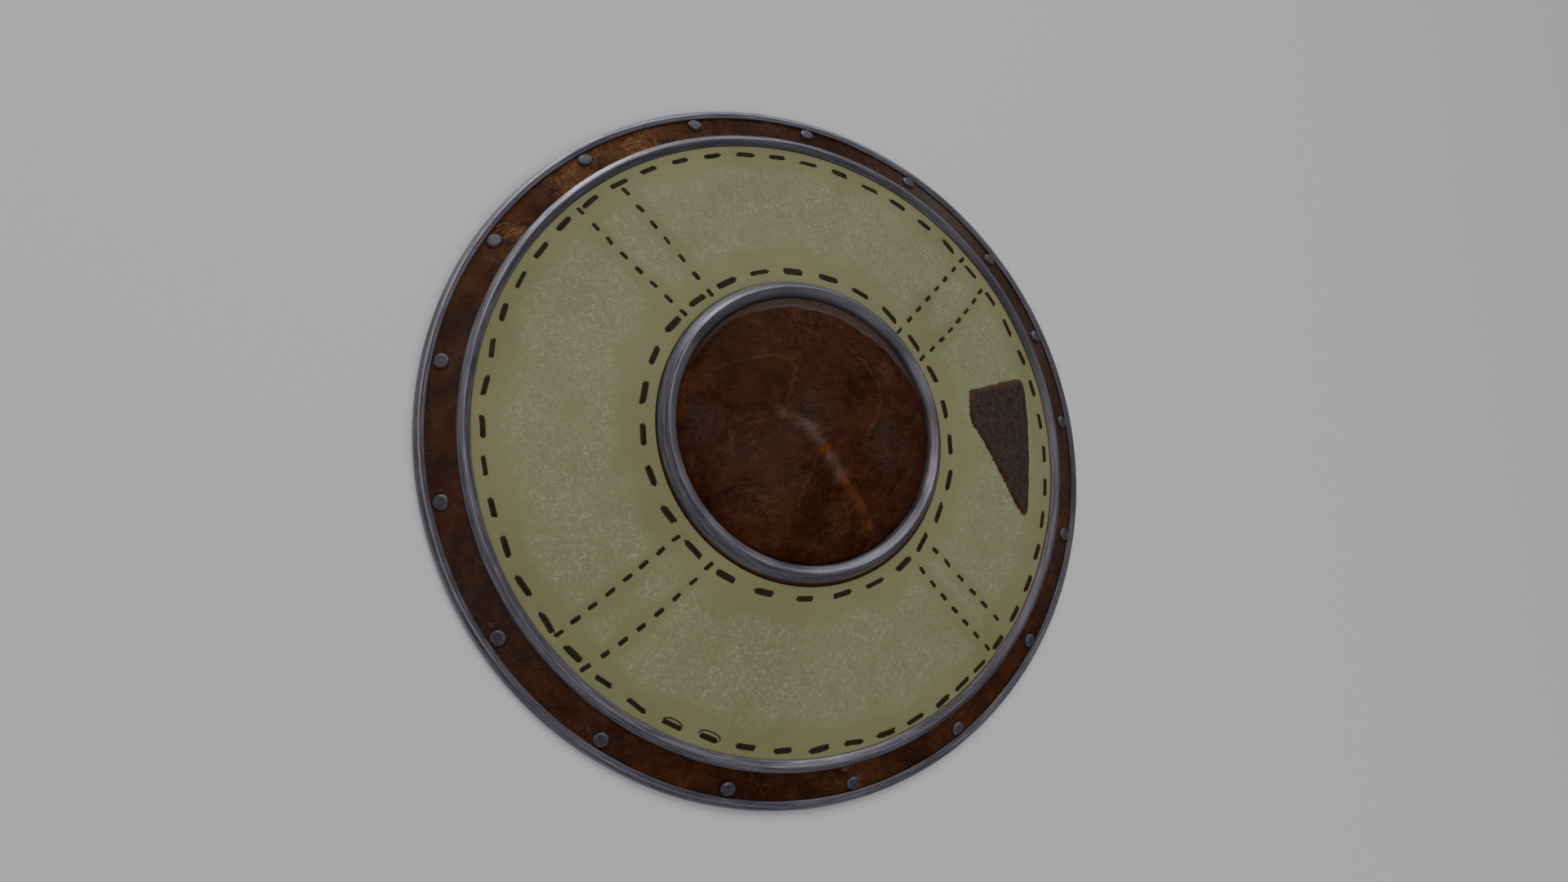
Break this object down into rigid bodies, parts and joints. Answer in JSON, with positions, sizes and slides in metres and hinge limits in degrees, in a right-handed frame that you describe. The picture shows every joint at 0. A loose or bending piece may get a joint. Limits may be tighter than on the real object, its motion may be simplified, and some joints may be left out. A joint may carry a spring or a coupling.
{
  "type": "leather shield",
  "caption": "Round leather shield with a cream rawhide face, domed leather boss, ridged iron rings, studded band and folded iron rim, with a wooden grip behind.",
  "frame": {"origin": "on the floor under the middle of the shield, which lies on its iron rim with the boss up", "axes": "+Z out of the face along the axis of the boss, +Y to the top of the shield as it is carried, +X to the right as seen from the front"},
  "size_m": [0.6, 0.6, 0.0852],
  "materials": {
    "brown_leather": "oiled, mottled, worn",
    "cream_rawhide": "matt, stained with grey-green speckle",
    "dull_iron": "hand-drawn iron, dull, streaked lengthwise",
    "patch_leather": "rough, flesh side out, frayed",
    "lacing": "waxed thong, matt",
    "grip_wood": "oiled, handled"
  },
  "bodies": {
    "root": {"hide_body": "brown_leather", "cream_facing": "cream_rawhide", "leather_boss": "brown_leather", "iron_rim": "dull_iron", "field_ring": "dull_iron", "boss_ring": "dull_iron", "band_stud_01": "dull_iron", "band_stud_02": "dull_iron", "band_stud_03": "dull_iron", "band_stud_04": "dull_iron", "band_stud_05": "dull_iron", "band_stud_06": "dull_iron", "band_stud_07": "dull_iron", "band_stud_08": "dull_iron", "band_stud_09": "dull_iron", "band_stud_10": "dull_iron", "band_stud_11": "dull_iron", "band_stud_12": "dull_iron", "band_stud_13": "dull_iron", "band_stud_14": "dull_iron", "band_stud_15": "dull_iron", "band_stud_16": "dull_iron", "band_stud_17": "dull_iron", "leather_patch": "patch_leather", "wooden_grip": "grip_wood", "grip_wrap": "brown_leather", "grip_rivet_1": "dull_iron", "grip_rivet_2": "dull_iron"}
  },
  "joints": []
}
